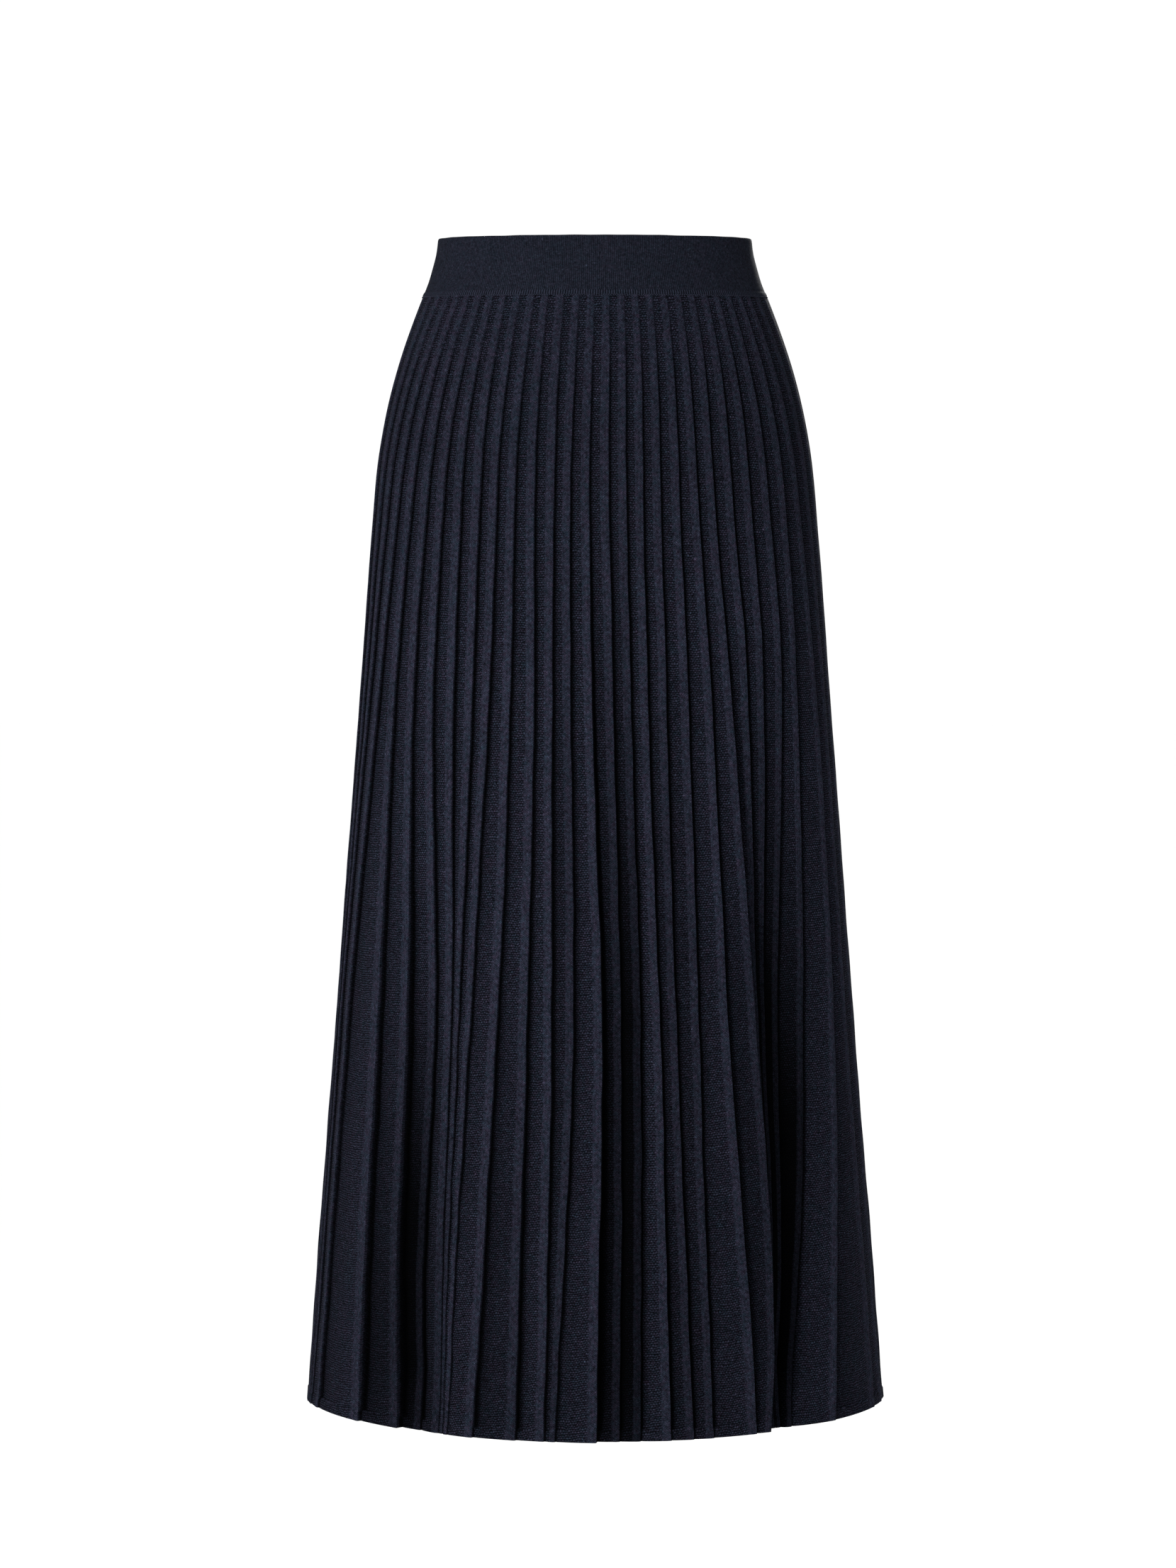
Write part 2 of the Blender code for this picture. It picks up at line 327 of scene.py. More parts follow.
# Two dyed yarns to each knit, a cool one and a warm one, and the dull finish of each piece.
RIB_YARNS = ((0.0058, 0.0095, 0.0147), (0.0106, 0.0084, 0.0151))
BAND_YARNS = ((0.0045, 0.0064, 0.0099), (0.0064, 0.0062, 0.0103))
LINK_YARN = (0.0096, 0.0108, 0.0174)
KNIT_ROUGHNESS = 0.9
KNIT_SPECULAR = 0.012
LINK_ROUGHNESS = 0.8
LINK_SPECULAR = 0.04

# Camera: lens, distance, height and tilt that give the photograph's view.
LENS_MM = 105.62
SENSOR_MM = 36.0
CAMERA_PLACE = (-0.00504, -3.4055, -0.1185)
CAMERA_TILT_DEG = 4.403

# Studio: a white room, a pale floor well below the hem, and a soft light in front and behind.
FLOOR_DROP = 0.45
FLOOR_SIZE = 30.0
FLOOR_COLOUR = (0.98, 0.98, 0.98, 1.0)
FLOOR_ROUGHNESS = 0.9
ROOM_STRENGTH = 1.03
LIGHT_PLACES = {"key": (-1.6, -2.4, 0.6), "back": (0.7, 2.8, 0.6)}
LIGHT_TARGET = (0.0, 0.0, -0.33)
LIGHT_SIZE = 0.7
LIGHT_WATTS = 11
LIGHT_SPREAD_DEG = 50


def columns_of(names, rows):
    """A table's columns by name."""
    return dict(zip(names, np.array(rows, float).T))


def hermite(knots, values, at):
    """Smooth curve through the knots, flat beyond its ends."""
    knots = np.asarray(knots, float)
    values = np.asarray(values, float)
    slopes = np.gradient(values, knots, axis=0)
    at = float(np.clip(at, knots[0], knots[-1]))
    i = min(int(np.searchsorted(knots, at, side="right")) - 1, len(knots) - 2)
    span = knots[i + 1] - knots[i]
    t = (at - knots[i]) / span
    return (
        (2 * t**3 - 3 * t**2 + 1) * values[i]
        + (t**3 - 2 * t**2 + t) * span * slopes[i]
        + (3 * t**2 - 2 * t**3) * values[i + 1]
        + (t**3 - t**2) * span * slopes[i + 1]
    )


def section(depth):
    """Half width, front depth, back depth and roundness at a depth below the top edge."""
    table = columns_of(SECTION_COLUMNS, SECTIONS)
    below_top = table["below_top"] * MM
    values = [table[name] for name in SECTION_COLUMNS[1:]]
    sizes = hermite(below_top, np.array(values).T, depth)
    return sizes[0] * MM, sizes[1] * MM, sizes[2] * MM, sizes[3]


def half_outline(depth, front):
    """Points, outward normals and girth places of the front or back half at a depth."""
    half_width, front_depth, back_depth, roundness = section(depth)
    side = -1.0 if front else 1.0
    reach = front_depth if front else back_depth
    turn = np.linspace(0.0, np.pi, OUTER_STEPS + 1)
    across = np.cos(turn)
    x = side * half_width * np.sign(across) * np.abs(across) ** (2 / roundness)
    y = side * reach * np.abs(np.sin(turn)) ** (2 / roundness)
    points = np.stack([x, y], axis=1)
    along = np.gradient(points, axis=0)
    along[0] = along[-1] = (0.0, 1.0)
    along[0] *= side
    along[-1] *= -side
    along /= np.linalg.norm(along, axis=1, keepdims=True)
    normals = np.stack([along[:, 1], -along[:, 0]], axis=1)
    lengths = np.linalg.norm(np.diff(points, axis=0), axis=1)
    places = np.concatenate([[0.0], np.cumsum(lengths)])
    return points, normals, places


def along_outline(where, places, points, normals):
    """Points and outward directions at places along an outline's girth."""
    base = np.stack([np.interp(where, places, points[:, axis]) for axis in (0, 1)], axis=1)
    outward = np.stack([np.interp(where, places, normals[:, axis]) for axis in (0, 1)], axis=1)
    outward /= np.linalg.norm(outward, axis=1, keepdims=True)
    return base, outward


def hem_share(depth):
    """0 above the hem's stiffer stretch, 1 at the hem."""
    return np.clip((depth - SKIRT_LENGTH) / HEM_EASE + 1, 0.0, 1.0)


def welt_share(depth):
    """0 above the hem welt, 1 in it."""
    return float(np.clip((depth - (SKIRT_LENGTH - WELT_HEIGHT)) / WELT_RISE, 0.0, 1.0))


def growth(depth, begins):
    """How far a fold has opened at a depth, from 0 where it begins; it flattens at the hem."""
    open_share = np.clip((depth - begins) / (SKIRT_LENGTH - begins), 0.0, 1.0)
    return open_share**FOLD_OPENING * (1 - (1 - FOLD_LEFT_AT_HEM) * hem_share(depth))


def front_ribs(depth):
    """Rib lines as shares of the girth, and how far the raised columns stand out."""
    table = columns_of(FRONT_COLUMNS, FRONT_RIBS)
    even = np.arange(1, RIBS_PER_PANEL + 1) / RIBS_PER_PANEL
    moved = hermite(list(LEVELS.values()), [table[name] for name in LEVELS], depth) / 1000
    out = table["stands_out"] * MM * growth(depth, table["begins"] * MM)
    return np.concatenate([[0.0], even + moved]), out


def back_ribs(depth):
    """The same for the back: even ribs, gathered and pushed in by each fold."""
    lines = np.arange(RIBS_PER_PANEL + 1, dtype=float)
    columns = np.arange(RIBS_PER_PANEL) + COLUMN_PLACE
    moved = np.zeros_like(lines)
    out = np.zeros_like(columns)
    for row in BACK_FOLDS:
        fold = dict(zip(BACK_COLUMNS, row))
        opened = growth(depth, fold["begins"] * MM)
        away = (lines - fold["rib"]) / fold["reach"]
        moved -= opened * fold["gather"] * fold["reach"] * away * np.exp(-away**2)
        beside = (columns - fold["rib"]) / (FOLD_CORE * fold["reach"])
        out -= opened * fold["fold_depth"] * MM * np.exp(-beside**2)
    ends = np.minimum(lines, RIBS_PER_PANEL - lines) / 2
    moved *= np.clip(ends, 0.0, 1.0)
    return (lines + moved) / RIBS_PER_PANEL, out


def wander(seed, count):
    """Smooth uneven curves down the skirt, one for each of count ribs, from -1 to 1."""
    random = np.random.default_rng(seed)
    phases = random.uniform(0, 2 * np.pi, (len(WANDER_WAVES), count))
    shares = random.uniform(*WANDER_SHARES, (len(WANDER_WAVES), count))
    shares /= shares.sum(axis=0)

    def at(depth):
        turns = [2 * np.pi * depth / wave + phase for wave, phase in zip(WANDER_WAVES, phases)]
        return (np.sin(turns) * shares).sum(axis=0)

    return at


def rib_levels(depth, widths, out):
    """Levels of the lines left of each rib, the steps and the column widths."""
    down = depth / SKIRT_LENGTH
    full_step = STEP_AT_WAIST + (STEP_AT_HEM - STEP_AT_WAIST) * down
    full_step *= 1 - (1 - WELT_STEP) * welt_share(depth)
    full_step *= np.clip(STEP_UNDER_BAND + (depth - BAND_HEIGHT) / STEP_RISE, 0.0, 1.0)
    narrower = np.minimum(widths, np.append(widths[1:], widths[-1]))
    room = np.minimum(narrower / CROWDED_WIDTH, 1.0)
    steps = np.minimum(full_step, LARGEST_STEP * narrower * room)
    valleys = np.full(RIBS_PER_PANEL + 1, -full_step)
    valleys[1:-1] = np.minimum(out[:-1], out[1:]) - steps[:-1]
    wide = COLUMN_AT_WAIST + (COLUMN_AT_HEM - COLUMN_AT_WAIST) * min(1.0, 2 * down)
    columns = np.minimum(wide, LARGEST_COLUMN * widths)
    return valleys, steps, columns


def fold_shade(depth, front, out):
    """How much painted shade each rib gets for lying in a fold."""
    if not front:
        return np.clip(-out / FULL_BACK_FOLD, 0.0, 1.0)
    table = columns_of(SHADE_COLUMNS, SHADED_RIBS)
    begins = table["begins"] * MM
    reached = np.clip((depth - begins) / (table["full"] * MM - begins), 0.0, 1.0)
    at_hem = 1 - LESS_FOLD_SHADE_AT_HEM * hem_share(depth)
    shaded = np.zeros(RIBS_PER_PANEL)
    shaded[table["rib"].astype(int)] = table["share"] * reached * at_hem
    return shaded


def painted_shade_share(depth, shaded, widths, steps, past_line):
    """Painted shade at each point: near 1 at the foot of a step or deep in a fold, where shade falls.
    """
    full = min(1.0, CREASE_AT_TOP + depth / CREASE_RISE)
    beside = np.append(np.repeat(np.append(STEP_AT_HEM, steps[:-1]), POINTS_PER_RIB), 0.0)
    wide = np.append(np.repeat(widths, POINTS_PER_RIB), 1.0)
    crease = np.exp(-((past_line / (CREASE_REACH * np.maximum(beside, LEAST_STEP))) ** 2))
    crease += CREASE_SPREAD * np.exp(-((past_line / (SPREAD_REACH * wide)) ** 2))
    crease *= np.minimum(beside / STEP_AT_WAIST, 1.0) * full
    across = np.arange(len(past_line)) % POINTS_PER_RIB
    crease[across >= DROP_POINT] = full
    fold = np.append(np.repeat(shaded, POINTS_PER_RIB), 0.0)
    in_column = (across >= len(FLAT_SHARES)) & (across < DROP_POINT)
    fold *= np.where(in_column, FOLD_SHADE_ON_COLUMNS, 1.0)
    near_top = min(max((TOP_SHADE_ENDS - depth) / TOP_SHADE_FADES, 0.0), 1.0)
    lit = (1 - CREASE_SHADE * np.clip(crease, 0.0, 1.0)) * (1 - FOLD_SHADE * fold)
    return 1 - lit * (1 - TOP_SHADE * near_top)


def pleated_line(depth, front, sideways, in_and_out):
    """One panel's outer points at a depth, how far each is short of its rib's right-hand
    line, and the painted shade of its place."""
    points, normals, places = half_outline(depth, front)
    girth = places[-1]
    lines, out = front_ribs(depth) if front else back_ribs(depth)
    down = depth / SKIRT_LENGTH
    lines = lines * girth
    lines[1:-1] += WANDER_SIDEWAYS * sideways(depth)[1:] * min(1.0, WANDER_AT_WAIST + down)
    out = out + WANDER_OUT * in_and_out(depth) * down
    widths = np.diff(lines)
    valleys, steps, columns = rib_levels(depth, widths, out)
    drops = np.minimum(DROP_WIDTH, LARGEST_DROP * widths)
    flats = widths - drops - columns
    foot = out - COLUMN_SLOPE * steps
    bulge = COLUMN_BULGE * np.minimum(1.0, columns / COLUMN_AT_HEM)
    where = []
    level = []
    for share in FLAT_SHARES:
        where.append(lines[:-1] + share * flats)
        level.append(valleys[:-1] + (foot - valleys[:-1]) * share**STEP_ROLL)
    for share in COLUMN_SHARES:
        where.append(lines[:-1] + flats + share * columns)
        level.append(foot + (out - foot) * share + bulge * math.sin(math.pi * share))
    for share in DROP_SHARES:
        where.append(lines[:-1] + flats + columns + share * drops)
        level.append(out + (valleys[1:] - out) * share)
    where = np.append(np.array(where).T.ravel(), lines[-1])
    level = np.append(np.array(level).T.ravel(), valleys[-1])
    level += WELT_OUT * welt_share(depth)
    from_line = np.append(np.repeat(lines[1:], POINTS_PER_RIB), lines[-1]) - where
    past_line = where - np.append(np.repeat(lines[:-1], POINTS_PER_RIB), lines[-1])
    painted_shade = painted_shade_share(depth, fold_shade(depth, front, out), widths, steps, past_line)
    base, outward = along_outline(where, places, points, normals)
    return base + outward * level[:, None], from_line, painted_shade


def inside_of(outer, wall):
    """The outer line moved inwards by the wall, mitred at each bend."""
    along = np.diff(outer, axis=0)
    along /= np.linalg.norm(along, axis=1, keepdims=True)
    across = np.stack([along[:, 1], -along[:, 0]], axis=1)
    before = np.vstack([across[:1], across])
    after = np.vstack([across, across[-1:]])
    mitre = before + after
    mitre /= np.maximum(1 + (before * after).sum(axis=1), SHARPEST_MITRE)[:, None]
    size = np.linalg.norm(mitre, axis=1, keepdims=True)
    mitre *= np.minimum(1.0, MITRE_LIMIT / size)
    for end in (0, -1):
        mitre[end] = (np.sign(outer[end, 0]), 0.0)
    return outer - wall * mitre


def panel_depths():
    """Depths of the panel's rows: the first is tucked into the band, the last is the hem."""
    top = np.append(BAND_HEIGHT - TUCK, np.linspace(BAND_HEIGHT, TOP_ROWS_END, TOP_ROWS)[:-1])
    middle = np.linspace(TOP_ROWS_END, SKIRT_LENGTH - WELT_HEIGHT - WELT_MARGIN, MIDDLE_ROWS)
    welt = SKIRT_LENGTH - np.array(WELT_ROWS) * MM
    return np.concatenate([top, middle, welt])


def new_mesh(name, vertices, faces, material):
    """A smooth shaded object in the scene, with its sharp edges kept sharp."""
    mesh = bpy.data.meshes.new(name)
    mesh.from_pydata(vertices, [], faces)
    mesh.update()
    mesh.materials.append(material)
    mesh.shade_smooth()
    mesh.set_sharp_from_angle(angle=math.radians(SHARP_EDGE_DEG))
    piece = bpy.data.objects.new(name, mesh)
    bpy.context.scene.collection.objects.link(piece)
    return piece


def corner_values(mesh, vertex_values):
    """Each point's values copied to the corners of its faces."""
    index = np.zeros(len(mesh.loops), np.int32)
    mesh.loops.foreach_get("vertex_index", index)
    return np.asarray(vertex_values, np.float32)[index]


def set_uv(mesh, corner_uv):
    """The stitch count across and down at each corner."""
    layer = mesh.uv_layers.new(name="stitches")
    layer.data.foreach_set("uv", corner_uv.ravel())


def set_point_values(mesh, name, values):
    """One number for each point, which the material reads by this name."""
    attribute = mesh.attributes.new(name, "FLOAT", "POINT")
    attribute.data.foreach_set("value", np.asarray(values, np.float32))


def inner_columns():
    """Which of a row's outer points the plainer inner grid keeps."""
    kept = [rib * POINTS_PER_RIB + p for rib in range(RIBS_PER_PANEL) for p in INNER_POINTS]
    return np.array([*kept, RIBS_PER_PANEL * POINTS_PER_RIB])


def panel_rows(front, kept):
    """Places, stitch counts and painted shade of a panel's points, outer rows first, then inner."""
    side = -1.0 if front else 1.0
    seed = WANDER_SEED + (0 if front else 50)
    sideways = wander(seed, RIBS_PER_PANEL)
    in_and_out = wander(seed + 1, RIBS_PER_PANEL)
    outer_rows = {"place": [], "uv": [], "painted_shade": []}
    inner_rows = {"place": [], "uv": [], "painted_shade": []}
    for depth in panel_depths():
        outer, from_line, painted_shade = pleated_line(depth, front, sideways, in_and_out)
        inner = inside_of(outer[kept], KNIT_WALL)
        for line, rows in ((outer, outer_rows), (inner, inner_rows)):
            line[0, 1] = line[-1, 1] = -side * SEAM_LAP
            rows["place"].append(np.column_stack([line, np.full(len(line), TOP_Z - depth)]))
        reach = np.minimum(from_line / ROW_RISE_REACH, 1.0)
        rise = ROW_RISE * (depth / SKIRT_LENGTH) ** 2 * reach
        uv = np.column_stack([from_line / SKIRT_STITCH[0], (depth - rise) / SKIRT_STITCH[1]])
        outer_rows["uv"].append(uv)
        inner_rows["uv"].append(uv[kept])
        outer_rows["painted_shade"].append(painted_shade)
        inner_rows["painted_shade"].append(INNER_SHADE * painted_shade[kept])
    return {name: np.concatenate(outer_rows[name] + inner_rows[name]) for name in outer_rows}


def panel_faces(rows, kept):
    """Faces of the outer grid, the inner grid, the two side edges, and the top and hem."""
    fine_count = RIBS_PER_PANEL * POINTS_PER_RIB + 1
    inner_count = len(kept)
    inner_start = fine_count * rows
    outer, inner, sides, ends = [], [], [], []
    for row in range(rows - 1):
        top = row * fine_count
        low = top + fine_count
        inner_top = inner_start + row * inner_count
        inner_low = inner_top + inner_count
        for i in range(fine_count - 1):
            outer.append((top + i, low + i, low + i + 1, top + i + 1))
        for i in range(inner_count - 1):
            inner.append((inner_top + i, inner_top + i + 1, inner_low + i + 1, inner_low + i))
        sides.append((top, inner_top, inner_low, low))
        sides.append((low - 1, low + fine_count - 1, inner_low + inner_count - 1, inner_low - 1))
    hem = (rows - 1) * fine_count
    inner_hem = inner_start + (rows - 1) * inner_count
    for i in range(inner_count - 1):
        span = range(kept[i], kept[i + 1] + 1)
        ends.append([*span, inner_start + i + 1, inner_start + i])
        ends.append([*(hem + j for j in reversed(span)), inner_hem + i, inner_hem + i + 1])
    return outer + inner + sides + ends


def knit_panel(name, front, material):
    """A ribbed shell: a fine outer grid, a plainer inner grid and the edges between them."""
    kept = inner_columns()
    rows = len(panel_depths())
    values = panel_rows(front, kept)
    piece = new_mesh(name, values["place"].tolist(), panel_faces(rows, kept), material)
    corner_uv = corner_values(piece.data, values["uv"])
    across = RIBS_PER_PANEL * POINTS_PER_RIB
    outer_uv = corner_uv[: 4 * (rows - 1) * across].reshape(rows - 1, across, 4, 2)
    outer_uv[:, POINTS_PER_RIB - 1 :: POINTS_PER_RIB, 2:, 0] = 0.0
    set_uv(piece.data, corner_uv)
    in_rib = np.arange(POINTS_PER_RIB) >= len(FLAT_SHARES)
    outer_mask = np.append(np.tile(in_rib, RIBS_PER_PANEL), True).astype(float)
    inner_mask = 1.0 - outer_mask[kept]
    mask = np.concatenate([np.tile(outer_mask, rows), np.tile(inner_mask, rows)])
    set_point_values(piece.data, "raised", mask)
    # Painted shade of the creases and folds, which the rib knit reads.
    set_point_values(piece.data, "painted_shade", values["painted_shade"])
    return piece


def band_profile():
    """Depth and inset of the folded band's outline, from its lower outer edge over the top."""
    face = [(depth, BAND_FACE_INSET) for depth in BAND_FACE]
    inside = [(depth, BAND_WALL / MM) for depth in BAND_INSIDE]
    outline = [*LINKED_ROLL, *face, *FOLDED_EDGE, *inside]
    return [(depth * MM, inset * MM) for depth, inset in outline]


def ring_points(depth, inset, count):
    """Points round the waist, evenly spaced along the girth, counterclockwise from +X."""
    back, back_normals, back_places = half_outline(depth, False)
    front, front_normals, front_places = half_outline(depth, True)
    points = np.vstack([back, front[1:]])
    normals = np.vstack([back_normals, front_normals[1:]])
    places = np.concatenate([back_places, back_places[-1] + front_places[1:]])
    at = np.linspace(0, places[-1], count, endpoint=False)
    base, outward = along_outline(at, places, points, normals)
    return base - outward * inset, outward


def girth_round(depth):
    """Length of the outer section all round at a depth."""
    return sum(half_outline(depth, front)[2][-1] for front in (True, False))


def waves_round(turn, waves, phases):
    """The mean of some sine waves round the waist."""
    return sum(np.sin(turn * wave + phase) for wave, phase in zip(waves, phases)) / len(waves)


def jersey_band(name, material):
    """The folded band as one closed ring, with its stitches counted round the waist."""
    profile = band_profile()
    rows = len(profile)
    round_share = np.arange(BAND_STEPS) / BAND_STEPS
    turn = 2 * np.pi * round_share
    stitches_round = round(girth_round(BAND_HEIGHT / 2) / BAND_STITCH[0])
    phases = np.random.default_rng(WANDER_SEED).uniform(0, 2 * np.pi, len(SWELL_WAVES))
    swell = waves_round(turn, SWELL_WAVES, phases)
    ripple = waves_round(turn, RIPPLE_WAVES, phases[::-1])
    vertices, vertex_uv, faces = [], [], []
    for row, (depth, inset) in enumerate(profile):
        points, outward = ring_points(depth, inset, BAND_STEPS)
        middle = math.sin(math.pi * min(depth / BAND_HEIGHT, 1.0))
        points = points + outward * (SWELL * middle * swell)[:, None]
        near_top = max(0.0, 1 - depth / RIPPLE_REACH)
        height = TOP_Z - depth + near_top * RIPPLE * (ripple - RIPPLE_DROP)
        vertices.append(np.column_stack([points, height]))
        rows_down = np.full(BAND_STEPS, depth / BAND_STITCH[1])
        vertex_uv.append(np.column_stack([round_share * stitches_round, rows_down]))
        this = row * BAND_STEPS
        following = (row + 1) % rows * BAND_STEPS
        for i in range(BAND_STEPS):
            j = (i + 1) % BAND_STEPS
            faces.append((this + i, this + j, following + j, following + i))
    piece = new_mesh(name, np.vstack(vertices).tolist(), faces, material)
    corner_uv = corner_values(piece.data, np.vstack(vertex_uv))
    corner_uv.reshape(rows, BAND_STEPS, 4, 2)[:, -1, 1:3, 0] = stitches_round
    set_uv(piece.data, corner_uv)
    linked = [float(depth > ROLL_TOP and inset < BAND_WALL) for depth, inset in profile]
    set_point_values(piece.data, "raised", np.repeat(linked, BAND_STEPS))
    return piece


def stitch_shape():
    """A small bean of yarn, along X, outwards is Y, up is Z."""
    vertices, faces = [], []
    for ring in range(LINK_RINGS):
        t = (ring + 0.5) / LINK_RINGS * 2 - 1
        radius = math.sqrt(max(0.0, 1 - t * t)) * LINK_RADIUS
        arch = LINK_ARCH * (1 - t * t)
        for j in range(LINK_SIDES):
            turn = 2 * math.pi * j / LINK_SIDES
            outwards = radius * math.cos(turn) + arch
            vertices.append((t * LINK_HALF_LENGTH, outwards, radius * math.sin(turn)))
    for ring in range(LINK_RINGS - 1):
        this = ring * LINK_SIDES
        following = this + LINK_SIDES
        for j in range(LINK_SIDES):
            k = (j + 1) % LINK_SIDES
            faces.append((this + j, following + j, following + k, this + k))
    last = (LINK_RINGS - 1) * LINK_SIDES
    faces.append(tuple(range(LINK_SIDES)))
    faces.append(tuple(last + j for j in reversed(range(LINK_SIDES))))
    return vertices, faces


def linking_stitches(name, material):
    """One row of small slanted stitches that link the band to the skirt."""
    count = round(girth_round(BAND_HEIGHT) / LINK_PITCH)
    points, outward = ring_points(BAND_HEIGHT, -LINK_STANDS_OUT, count)
    shape, shape_faces = stitch_shape()
    up = np.array([0.0, 0.0, 1.0])
    vertices, faces = [], []
    for i in range(count):
        out = np.array([*outward[i], 0.0])
        along = np.array([-out[1], out[0], 0.0])
        slant = math.radians(LINK_SLANT_DEG if i % 2 else -LINK_SLANT_DEG)
        across = along * math.cos(slant) + up * math.sin(slant)
        rise = up * math.cos(slant) - along * math.sin(slant)
        centre = np.array([*points[i], TOP_Z - BAND_HEIGHT])
        start = len(vertices)
        vertices += [tuple(centre + across * x + out * y + rise * z) for x, y, z in shape]
        faces += [tuple(start + v for v in face) for face in shape_faces]
    return new_mesh(name, vertices, faces, material)


class Nodes:
    """Short calls for building one material's node tree."""

    def __init__(self, name):
        self.material = bpy.data.materials.new(name)
        self.material.use_nodes = True
        self.tree = self.material.node_tree
        self.shader = self.tree.nodes["Principled BSDF"]

    def new(self, kind, **settings):
        node = self.tree.nodes.new(kind)
        for key, value in settings.items():
            setattr(node, key, value)
        return node

    def link(self, source, target):
        """Link an output to an input, or set the input to a number or colour."""
        if isinstance(source, (int, float, tuple)):
            target.default_value = source
        else:
            self.tree.links.new(source, target)

    def math(self, operation, *values, clamp=False):
        node = self.new("ShaderNodeMath", operation=operation, use_clamp=clamp)
        for value, target in zip(values, node.inputs):
            self.link(value, target)
        return node.outputs[0]

    def times(self, a, b):
        return self.math("MULTIPLY", a, b)

    def scaled(self, value, gain, base, clamp=False):
        """The value times a gain, plus a base."""
        return self.math("MULTIPLY_ADD", value, gain, base, clamp=clamp)

    def wave(self, phase):
        """A cosine from 0 to 1 with one period for each whole number of phase."""
        return self.scaled(self.math("COSINE", self.times(phase, 2 * math.pi)), 0.5, 0.5)

    def noise(self, vector, scale, detail, roughness):
        node = self.new("ShaderNodeTexNoise")
        self.link(vector, node.inputs["Vector"])
        node.inputs["Scale"].default_value = scale
        node.inputs["Detail"].default_value = detail
        node.inputs["Roughness"].default_value = roughness
        return node.outputs["Fac"]

    def attribute(self, name):
        return self.new("ShaderNodeAttribute", attribute_name=name).outputs["Fac"]

    def mix(self, factor, a, b):
        node = self.new("ShaderNodeMix", data_type="FLOAT")
        self.link(factor, node.inputs["Factor"])
        self.link(a, node.inputs[2])
        self.link(b, node.inputs[3])
        return node.outputs[0]

    def mix_colours(self, factor, a, b):
        node = self.new("ShaderNodeMix", data_type="RGBA")
        self.link(factor, node.inputs["Factor"])
        node.inputs[6].default_value = (*a, 1.0)
        node.inputs[7].default_value = (*b, 1.0)
        return node.outputs[2]

    def set_colour(self, colour, amount):
        """The shader's base colour is the colour times a value."""
        node = self.new("ShaderNodeVectorMath", operation="SCALE")
        self.link(colour, node.inputs[0])
        self.link(amount, node.inputs["Scale"])
        self.link(node.outputs[0], self.shader.inputs["Base Color"])

    def set_surface(self, roughness, specular):
        self.shader.inputs["Roughness"].default_value = roughness
        self.shader.inputs["Specular IOR Level"].default_value = specular


def stitch_count(nodes, noises):
    """Stitches across and down at a point, with rows that stray from a ruled line."""
    uv = nodes.new("ShaderNodeUVMap", uv_map="stitches")
    split = nodes.new("ShaderNodeSeparateXYZ")
    nodes.link(uv.outputs[0], split.inputs[0])
    down = split.outputs["Y"]
    for name, rows in (("stray", STRAY_ROWS), ("sway", SWAY_ROWS)):
        down = nodes.scaled(nodes.math("SUBTRACT", noises[name], 0.5), rows, down)
    return split.outputs["X"], down


def plain_height(nodes, u, v):
    """Plain knit: two slanting legs to a stitch, with a groove between them."""
    off_centre = nodes.math("ABSOLUTE", nodes.math("SUBTRACT", nodes.math("FRACT", u), 0.5))
    legs = nodes.wave(nodes.scaled(off_centre, LEG_SLANT, v))
    groove = nodes.math("SINE", nodes.times(off_centre, 2 * math.pi))
    return nodes.times(nodes.scaled(legs, *LEGS), nodes.scaled(groove, *LEG_GROOVE))


def purl_height(nodes, u, v):
    """Purl: rows of short arched ridges, each row half a stitch along from the last."""
    bumps = nodes.wave(nodes.math("ADD", u, nodes.times(nodes.math("FLOOR", v), 0.5)))
    arched = nodes.math("ADD", nodes.math("FRACT", v), nodes.times(bumps, PURL_ARCH))
    ridges = nodes.wave(nodes.math("ADD", arched, 0.5))
    return nodes.times(ridges, nodes.scaled(bumps, *PURL_BUMPS))


def rib_height(nodes, u, v, uneven, raised):
    """Purl between the ribs and plain knit on their raised columns."""
    purl = nodes.times(purl_height(nodes, u, v), uneven)
    plain = nodes.times(plain_height(nodes, u, v), uneven)
    return nodes.mix(raised, purl, plain)


def jersey_height(nodes, u, v, uneven, raised):
    """Plain knit softened by its upright wales, and tall loops on the linked roll."""
    plain = nodes.times(plain_height(nodes, u, v), uneven)
    wales = nodes.times(nodes.wave(u), nodes.scaled(nodes.wave(v), *WALE_LOOPS))
    face = nodes.mix(WALE_SHARE, plain, nodes.times(wales, uneven))
    loops = nodes.wave(nodes.times(u, BAND_STITCH[0] / LINK_PITCH))
    return nodes.mix(raised, face, nodes.scaled(loops, *ROLL_LOOPS))


def yarn_shade(nodes, noises, height, grain):
    """Light and dark of the yarn: painted shade in the hollows between stitches, fibres, patches, and
    specks that are painted glints.
    """
    # Painted glints: bright specks where fibres catch the light.
    specks = nodes.math("GREATER_THAN", noises["speck"], SPECK_LEVEL)
    # Painted shade: hollows between stitches darker, stitch tops lighter.
    shade = nodes.scaled(height, *HEIGHT_SHADE)
    for source, gain_and_base in (
        (noises["fuzz"], FUZZ_SHADE),
        (noises["mottle"], (grain, 1 - grain / 2)),
        (noises["patch"], PATCH_SHADE),
        (specks, SPECK_GLINT),
    ):
        shade = nodes.times(shade, nodes.scaled(source, *gain_and_base))
    return shade


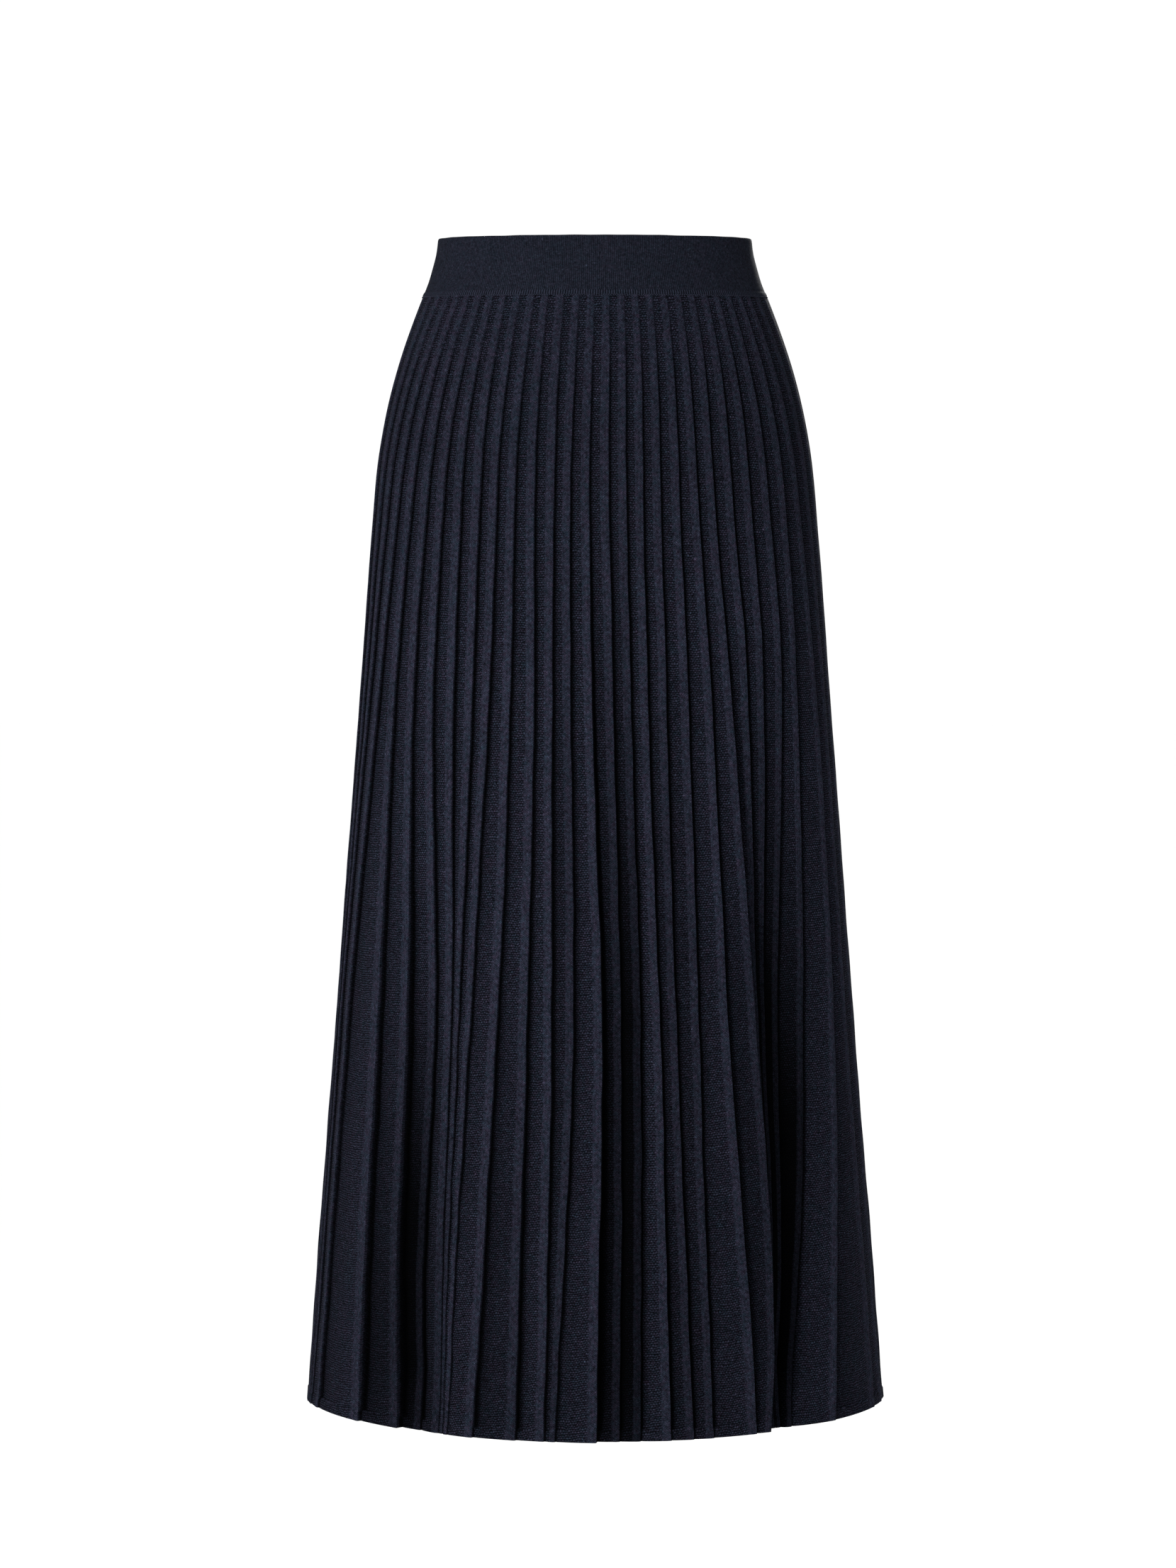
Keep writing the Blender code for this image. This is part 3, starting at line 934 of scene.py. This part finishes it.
def knit_material(name, yarns, relief, grain, ribbed):
    """Knit of two mixed yarns; ribbed knit also gets painted shade in its creases and folds."""
    nodes = Nodes(name)
    place = nodes.new("ShaderNodeTexCoord").outputs["Object"]
    noises = {key: nodes.noise(place, *settings) for key, settings in YARN_NOISES.items()}
    u, v = stitch_count(nodes, noises)
    uneven = nodes.times(noises["chance"], UNEVEN_STITCHES)
    raised = nodes.scaled(nodes.attribute("raised"), *RAISED_EDGE, clamp=True)
    height_of = rib_height if ribbed else jersey_height
    height = height_of(nodes, u, v, uneven, raised)
    shade = yarn_shade(nodes, noises, height, grain)
    if ribbed:
        # Painted shade from the point values: darker in the creases and folds.
        shade = nodes.times(shade, nodes.math("SUBTRACT", 1.0, nodes.attribute("painted_shade")))
        # A painted highlight: the raised columns are lighter than the flats.
        shade = nodes.times(shade, nodes.scaled(raised, *RAISED_HIGHLIGHT))
    patches = nodes.scaled(noises["hue_patch"], *HUE_PATCHES)
    single_yarns = nodes.scaled(noises["hue_yarn"], *HUE_YARNS)
    hue = nodes.mix_colours(nodes.mix(HUE_YARN_SHARE, patches, single_yarns), *yarns)
    nodes.set_colour(hue, nodes.math("MAXIMUM", shade, DARKEST))
    bump = nodes.new("ShaderNodeBump")
    bump.inputs["Strength"].default_value = 1.0
    bump.inputs["Distance"].default_value = relief
    nodes.link(nodes.scaled(noises["fuzz"], FUZZ_RELIEF, height), bump.inputs["Height"])
    nodes.link(bump.outputs[0], nodes.shader.inputs["Normal"])
    nodes.set_surface(KNIT_ROUGHNESS, KNIT_SPECULAR)
    return nodes.material


def yarn_material(name, colour):
    """Bare yarn with fine light and dark fibres."""
    nodes = Nodes(name)
    place = nodes.new("ShaderNodeTexCoord").outputs["Object"]
    fuzz = nodes.noise(place, *LINK_FUZZ_NOISE)
    nodes.set_colour(colour, nodes.scaled(fuzz, *LINK_SHADE))
    nodes.set_surface(LINK_ROUGHNESS, LINK_SPECULAR)
    return nodes.material


def make_floor():
    floor_z = TOP_Z - SKIRT_LENGTH - FLOOR_DROP
    bpy.ops.mesh.primitive_plane_add(size=FLOOR_SIZE, location=(0, 0, floor_z))
    floor = bpy.context.object
    floor.name = "studio_floor"
    nodes = Nodes("pale_floor")
    nodes.shader.inputs["Base Color"].default_value = FLOOR_COLOUR
    nodes.shader.inputs["Roughness"].default_value = FLOOR_ROUGHNESS
    floor.data.materials.append(nodes.material)


def make_light(name, place):
    """A soft round light that looks at the middle of the skirt."""
    data = bpy.data.lights.new(name, "AREA")
    data.shape = "DISK"
    data.size = LIGHT_SIZE
    data.energy = LIGHT_WATTS
    data.spread = math.radians(LIGHT_SPREAD_DEG)
    light = bpy.data.objects.new(name, data)
    light.location = place
    direction = Vector(LIGHT_TARGET) - Vector(place)
    light.rotation_euler = direction.to_track_quat("-Z", "Y").to_euler()
    bpy.context.scene.collection.objects.link(light)


def make_room():
    world = bpy.data.worlds.new("white_studio")
    world.use_nodes = True
    background = world.node_tree.nodes["Background"]
    background.inputs["Color"].default_value = (1.0, 1.0, 1.0, 1.0)
    background.inputs["Strength"].default_value = ROOM_STRENGTH
    bpy.context.scene.world = world
    for name, place in LIGHT_PLACES.items():
        make_light(name, place)


def make_camera():
    data = bpy.data.cameras.new("camera")
    data.lens = LENS_MM
    data.sensor_width = SENSOR_MM
    data.clip_end = 100
    camera = bpy.data.objects.new("camera", data)
    camera.location = CAMERA_PLACE
    camera.rotation_euler = (math.radians(90 - CAMERA_TILT_DEG), 0, 0)
    bpy.context.scene.collection.objects.link(camera)
    bpy.context.scene.camera = camera


def dress_skirt():
    """The band, its linking stitches and the two panels; the band and the panels stand for
    their CAD nodes, which are hidden.
    """
    rib_knit = knit_material("navy_rib_knit", RIB_YARNS, RIB_RELIEF, RIB_GRAIN, ribbed=True)
    fine_jersey = knit_material("navy_fine_jersey", BAND_YARNS, BAND_RELIEF, BAND_GRAIN, ribbed=False)
    link_yarn = yarn_material("navy_link_yarn", LINK_YARN)
    band = jersey_band("band_jersey", fine_jersey)
    links = linking_stitches("linking_stitches", link_yarn)
    front = knit_panel("front_knit", True, rib_knit)
    back = knit_panel("back_knit", False, rib_knit)
    for piece, node, slot in (
        (band, "waistband", "fine_jersey"),
        (links, None, "fine_jersey"),
        (front, "front_panel", "rib_knit"),
        (back, "back_panel", "rib_knit"),
    ):
        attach(piece, "root")
        if node:
            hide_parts(node)


make_camera()
make_floor()
make_room()
dress_skirt()
bpy.context.scene.view_settings.view_transform = "Standard"
